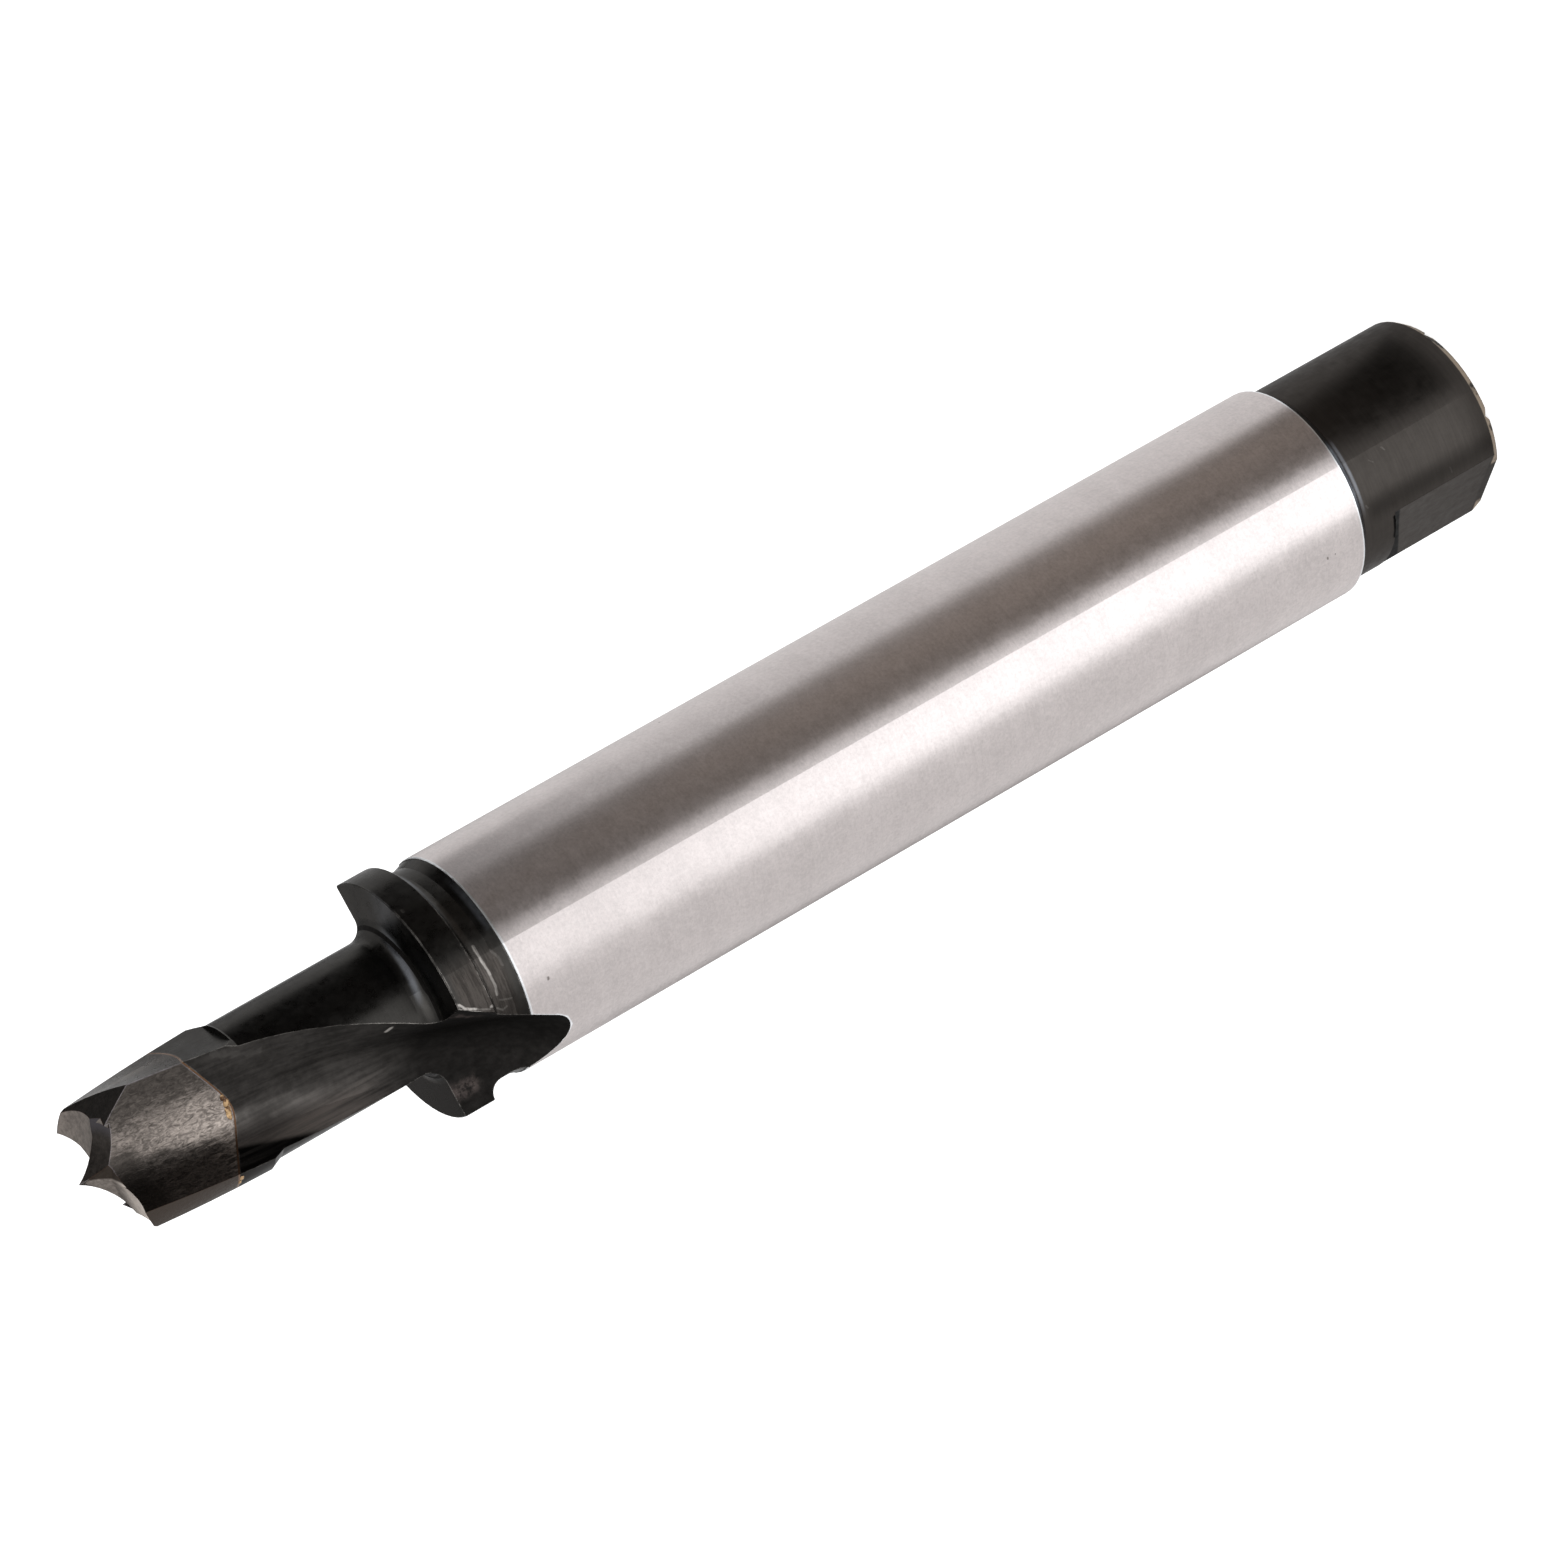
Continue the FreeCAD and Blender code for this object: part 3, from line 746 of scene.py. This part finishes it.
def brazing_film(name, look, clean):
    """Solder under brown flux: clean is where on the mottle the bare solder starts"""
    s = Surface(name)
    mottle = s.noise(s.place, 2.3, 4.0, 0.6)
    base = s.blend(s.ramp(mottle, clean, clean + 0.12), FLUX_BROWN, look.braze)
    return s.finish(base, s.ramp(mottle, 0.3, 0.7, 0.5, 0.35), s.bump(mottle, 0.4, 0.02))


def outline_radius(z):
    """Radius of the turned body at a height, in millimetres"""
    for (z0, r0), (z1, r1) in zip(OUTLINE, OUTLINE[1:]):
        if z0 <= z < z1:
            return r0 + (r1 - r0) * (z - z0) / (z1 - z0)
    return HEAD_RADIUS


def steel_finish(corners, normal):
    """0 black oxide, 1 ground shank, 2 flute: which finish a face of the steel body has"""
    middle = sum(corners, Vector()) / len(corners)
    reach = math.hypot(middle.x, middle.y)
    outward = (normal.x * middle.x + normal.y * middle.y) / max(reach, 0.001)
    below = max(outline_radius(c.z) - math.hypot(c.x, c.y) for c in corners)
    if middle.z > SHANK_REAR + 20.0 and abs(normal.z) < 0.9 and below > 0.03:
        if middle.z < COLLAR_FRONT + 1.0 and below < 0.14 and outward > 0.3:
            return 1 if middle.z < SHANK_FRONT - 0.1 else 0
        if reach < NECK_RADIUS - 0.3 or outward < 0.85 or middle.z < COLLAR_FRONT:
            return 2
    if SHANK_REAR - 0.02 < middle.z < SHANK_FRONT and outward > 0.5:
        return 1
    return 0


def tip_finish(middle, normal):
    """Place in TIP_FACES of the finish that a face of the tip has"""
    reach = math.hypot(middle.x, middle.y)
    outward = (normal.x * middle.x + normal.y * middle.y) / max(reach, 0.001)
    if normal.z < 0.45:
        return 1 if outward > 0.85 and reach > HEAD_RADIUS - 0.8 else 0
    turned = Matrix.Rotation(math.radians(-LIP_ANGLE), 3, "Z") @ normal
    if abs(turned.y) < 0.3:
        return 2
    return 4 if turned.x * turned.y < -0.08 else 3


class DOWELBIT_OT_steel_body(bpy.types.Operator):
    """Ground shank, black oxide and flutes of the steel body"""

    bl_idname = "dowelbit.steel_body"
    bl_label = "Finish the steel body"

    def execute(self, context):
        look = context.scene.dowel_bit_finish
        mesh = frame["nodes"]["steel_body"].data
        mesh.materials.clear()
        for material in (black_oxide(look), ground_shank(look), flute_floor(look)):
            mesh.materials.append(material)
        for face in mesh.polygons:
            corners = [mesh.vertices[k].co * METRE for k in face.vertices]
            face.material_index = steel_finish(corners, face.normal)
        return {"FINISHED"}


class DOWELBIT_OT_carbide_tip(bpy.types.Operator):
    """Ground faces of the carbide tip"""

    bl_idname = "dowelbit.carbide_tip"
    bl_label = "Finish the carbide tip"

    def execute(self, context):
        look = context.scene.dowel_bit_finish
        tip = frame["nodes"]["carbide_tip"].data
        tip.materials.clear()
        for face_finish in TIP_FACES:
            tip.materials.append(ground_carbide(look, *face_finish))
        for face in tip.polygons:
            face.material_index = tip_finish(face.center * METRE, face.normal)
        return {"FINISHED"}


def seen_place(x, y):
    """Nearest place on the bit, and its normal, under a pixel of the photograph"""
    ray = BACK * -FOCAL_PIXELS + RIGHT * (x - PHOTO_CENTRE) + ABOVE * (PHOTO_CENTRE - y)
    nearest = None
    for part in frame["nodes"].values():
        hit, place, normal, _ = part.ray_cast(EYE, ray.normalized())
        if hit and (nearest is None or (place - EYE).length < (nearest[0] - EYE).length):
            nearest = (place, normal)
    if nearest is None:
        raise RuntimeError("no surface under a braze spot")
    return nearest


def braze_bead(bm, place, normal, size, shift):
    """Flat uneven drop of solder lying on the surface, its length along the joint line"""
    long, wide, high = size
    side = normal.cross(Vector((0.0, 0.0, 1.0))).normalized()
    along = side.cross(normal).normalized()
    first = len(bm.verts)
    bmesh.ops.create_icosphere(bm, subdivisions=4, radius=1.0)
    bm.verts.ensure_lookup_table()
    for vertex in bm.verts[first:]:
        co = vertex.co.copy()
        swell = 1.0 + SPOT_SWELL * noise.noise(co * SPOT_WAVES + Vector((shift, shift * 0.7, 0.0)))
        vertex.co = place + (side * (co.x * long) + along * (co.y * wide)) * swell + normal * (co.z * high)


class DOWELBIT_OT_braze(bpy.types.Operator):
    """Brazing film between the tip and the body, and the drops that stand on its line"""

    bl_idname = "dowelbit.braze"
    bl_label = "Finish the braze"

    def execute(self, context):
        look = context.scene.dowel_bit_finish
        film = frame["nodes"]["braze"].data
        film.materials.clear()
        film.materials.append(brazing_film("brazing film", look, FILM_CLEAN))
        bm = bmesh.new()
        for seed, (x, y, long, wide) in enumerate(BRAZE_SPOTS):
            place, normal = seen_place(x, y)
            size = [side * MILLIMETRE for side in (long, wide, BRAZE_SPOT_HEIGHT)]
            braze_bead(bm, place, normal, size, seed * SPOT_STEP)
        mesh = bpy.data.meshes.new("braze_drops")
        bm.to_mesh(mesh)
        bm.free()
        mesh.shade_smooth()
        mesh.materials.append(brazing_film("braze drops", look, DROPS_CLEAN))
        drops = bpy.data.objects.new("braze_drops", mesh)
        context.scene.collection.objects.link(drops)
        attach(drops, next(iter(frame["bodies"])))
        return {"FINISHED"}


def stage_piece(name, points, faces, material):
    """New mesh of the stage, which is no part of the bit"""
    mesh = bpy.data.meshes.new(name)
    mesh.from_pydata(points, [], faces)
    mesh.materials.append(material)
    piece = bpy.data.objects.new(name, mesh)
    bpy.context.scene.collection.objects.link(piece)
    return piece


def stage_material(name):
    """New material of the stage, the node tree in it and its output's socket"""
    material = bpy.data.materials.new(name)
    material.use_nodes = True
    tree = material.node_tree
    tree.nodes.clear()
    return material, tree, tree.nodes.new("ShaderNodeOutputMaterial").inputs["Surface"]


def floor_material(shade):
    """Pale floor that keeps shadows, and glows for the camera and in the gloss"""
    material, tree, surface = stage_material("floor")
    paint = tree.nodes.new("ShaderNodeBsdfDiffuse")
    paint.inputs["Color"].default_value = (*shade, 1.0)
    path = tree.nodes.new("ShaderNodeLightPath")
    gloss = tree.nodes.new("ShaderNodeMath")
    gloss.operation = "MAXIMUM"
    tree.links.new(path.outputs["Is Glossy Ray"], gloss.inputs[0])
    tree.links.new(path.outputs["Is Transmission Ray"], gloss.inputs[1])
    dim = tree.nodes.new("ShaderNodeMath")
    dim.operation = "MULTIPLY"
    dim.inputs[1].default_value = FLOOR_IN_GLOSS
    tree.links.new(gloss.outputs[0], dim.inputs[0])
    level = tree.nodes.new("ShaderNodeMath")
    level.operation = "MULTIPLY_ADD"
    level.inputs[1].default_value = FLOOR_GLOW
    tree.links.new(path.outputs["Is Camera Ray"], level.inputs[0])
    tree.links.new(dim.outputs[0], level.inputs[2])
    glow = tree.nodes.new("ShaderNodeEmission")
    tree.links.new(level.outputs[0], glow.inputs["Strength"])
    both = tree.nodes.new("ShaderNodeAddShader")
    tree.links.new(paint.outputs[0], both.inputs[0])
    tree.links.new(glow.outputs[0], both.inputs[1])
    tree.links.new(both.outputs[0], surface)
    return material


def card_material(name, shade):
    """Even glow of a studio card"""
    material, tree, surface = stage_material(name)
    glow = tree.nodes.new("ShaderNodeEmission")
    glow.inputs["Color"].default_value = (*shade, 1.0)
    tree.links.new(glow.outputs[0], surface)
    return material


def card(name, first, last, profile, tone):
    """Studio card that only shows in the gloss: a profile of radius and height swept round the axis"""
    points = []
    faces = []
    rows = len(profile)
    for k in range(CARD_STEPS + 1):
        turn = math.radians(first + (last - first) * k / CARD_STEPS)
        points += [(r * math.cos(turn), r * math.sin(turn), z) for r, z in profile]
    for k in range(CARD_STEPS):
        for j in range(rows - 1):
            a = rows * k + j
            faces.append((a, a + 1, a + 1 + rows, a + rows))
    piece = stage_piece(name, points, faces, card_material(name, tone))
    piece.visible_camera = False
    piece.visible_diffuse = False
    piece.visible_shadow = False
    piece.visible_transmission = False


def white_surround(scene, brightness):
    """World that is white to the camera and has its own brightness on the bit"""
    world = bpy.data.worlds.new("surround")
    world.use_nodes = True
    scene.world = world
    sky = world.node_tree.nodes["Background"]
    sky.inputs["Color"].default_value = (1.0, 1.0, 1.0, 1.0)
    path = world.node_tree.nodes.new("ShaderNodeLightPath")
    level = world.node_tree.nodes.new("ShaderNodeMapRange")
    world.node_tree.links.new(path.outputs["Is Camera Ray"], level.inputs["Value"])
    level.inputs["To Min"].default_value = brightness
    level.inputs["To Max"].default_value = 1.0
    world.node_tree.links.new(level.outputs[0], sky.inputs["Strength"])


def window_lamp(scene, power):
    """Tall lamp beside the camera, aimed at the middle of the bit"""
    lamp = bpy.data.lights.new("window", "AREA")
    lamp.shape = "RECTANGLE"
    lamp.size = 0.26
    lamp.size_y = 0.30
    lamp.energy = power
    window = bpy.data.objects.new("window", lamp)
    scene.collection.objects.link(window)
    aim = Vector((0, 0, 0.045))
    distance = 0.34
    turn = math.radians(-23.0)
    rise = math.radians(38.0)
    away = Vector((math.cos(rise) * math.cos(turn), math.cos(rise) * math.sin(turn), math.sin(rise)))
    window.location = aim + away * distance
    window.rotation_euler = (aim - window.location).to_track_quat("-Z", "Y").to_euler()
    window.visible_camera = False


def photo_camera(scene, focal_length):
    """Camera that stands where the photograph was taken"""
    lens = bpy.data.cameras.new("camera")
    lens.sensor_fit = "HORIZONTAL"
    lens.sensor_width = 36.0
    lens.lens = focal_length
    lens.clip_start = 0.01
    lens.clip_end = 50.0
    camera = bpy.data.objects.new("camera", lens)
    scene.collection.objects.link(camera)
    pose = Matrix((RIGHT, ABOVE, BACK)).transposed().to_4x4()
    pose.translation = EYE
    camera.matrix_world = pose
    scene.camera = camera


class DOWELBIT_OT_stage(bpy.types.Operator):
    """Floor, surround, lamps and camera"""

    bl_idname = "dowelbit.stage"
    bl_label = "Set the stage"

    def execute(self, context):
        scene = context.scene
        setting = scene.dowel_bit_stage
        half = setting.floor_width / 2
        corners = [(-half, -half, 0), (half, -half, 0), (half, half, 0), (-half, half, 0)]
        stage_piece("floor", corners, [(0, 1, 2, 3)], floor_material(setting.floor))
        white_surround(scene, setting.surround)
        window_lamp(scene, setting.window_power)
        white = tuple(setting.card_strength * c for c in CARD_WHITE)
        card("white card", -43.0, 4.0,
             ((CARD_INNER, CARD_FOOT), (CARD_WALL, CARD_FOOT), (CARD_WALL, WHITE_CARD_TOP)), white)
        for settings in CARDS:
            card(*settings)
        photo_camera(scene, setting.focal_length)
        scene.view_settings.view_transform = "Standard"
        return {"FINISHED"}


class DOWELBIT_PT_panel(bpy.types.Panel):
    """Lists the pieces of the dowel bit and their settings"""

    bl_idname = "DOWELBIT_PT_panel"
    bl_label = "Dowel Bit"
    bl_space_type = "VIEW_3D"
    bl_region_type = "UI"
    bl_category = "Dowel Bit"

    def draw(self, context):
        layout = self.layout
        for group in (context.scene.dowel_bit_finish, context.scene.dowel_bit_stage):
            box = layout.box()
            for name in group.__annotations__:
                box.prop(group, name)
        for name in STEPS:
            layout.operator("dowelbit." + name)


STEPS = ("steel_body", "carbide_tip", "braze", "stage")
CLASSES = (
    DowelBitFinish,
    DowelBitStage,
    DOWELBIT_OT_steel_body,
    DOWELBIT_OT_carbide_tip,
    DOWELBIT_OT_braze,
    DOWELBIT_OT_stage,
    DOWELBIT_PT_panel,
)


def register():
    for item in CLASSES:
        bpy.utils.register_class(item)
    bpy.types.Scene.dowel_bit_finish = bpy.props.PointerProperty(type=DowelBitFinish)
    bpy.types.Scene.dowel_bit_stage = bpy.props.PointerProperty(type=DowelBitStage)


def unregister():
    del bpy.types.Scene.dowel_bit_stage
    del bpy.types.Scene.dowel_bit_finish
    for item in reversed(CLASSES):
        bpy.utils.unregister_class(item)


def main():
    register()
    for name in STEPS:
        getattr(bpy.ops.dowelbit, name)()


if __name__ == "__main__":
    main()
